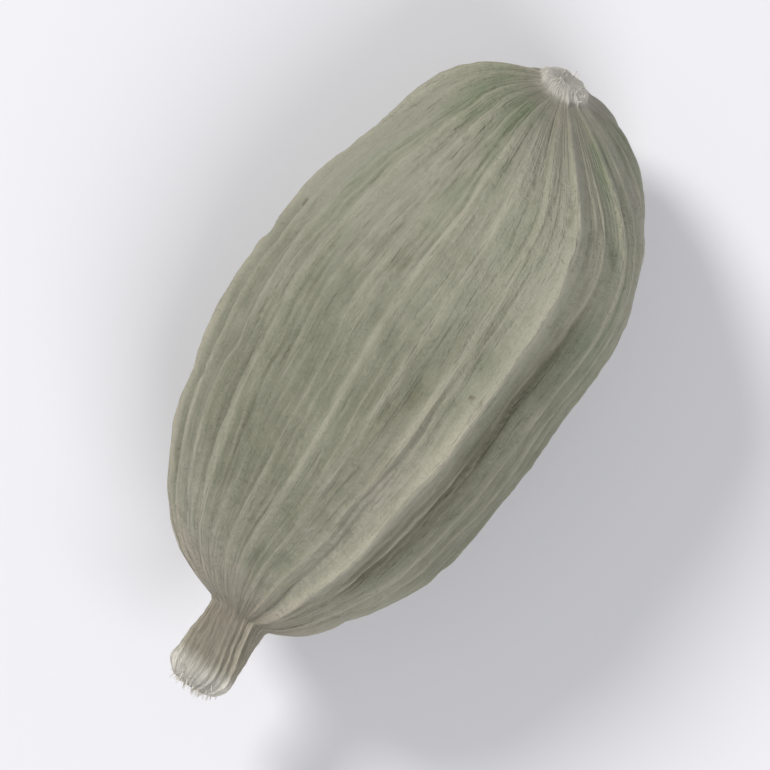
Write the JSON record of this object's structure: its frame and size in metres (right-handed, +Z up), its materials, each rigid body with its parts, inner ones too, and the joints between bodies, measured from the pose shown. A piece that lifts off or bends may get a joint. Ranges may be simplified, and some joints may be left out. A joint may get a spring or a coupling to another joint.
{
  "type": "green cardamom pod",
  "caption": "Dried green cardamom pod: a plump, ribbed capsule of rounded triangular section with a short beak and a stalk scar, used whole as a spice.",
  "frame": {"origin": "a point of the small flat spot that the pod rests on, under the middle of its body", "axes": "+X along the pod towards its stalk end, with the beak towards -X; +Z up from the surface it rests on"},
  "size_m": [0.0166, 0.008, 0.0071],
  "materials": {
    "skin": "satin"
  },
  "bodies": {
    "root": {"pod": "skin"}
  },
  "joints": []
}
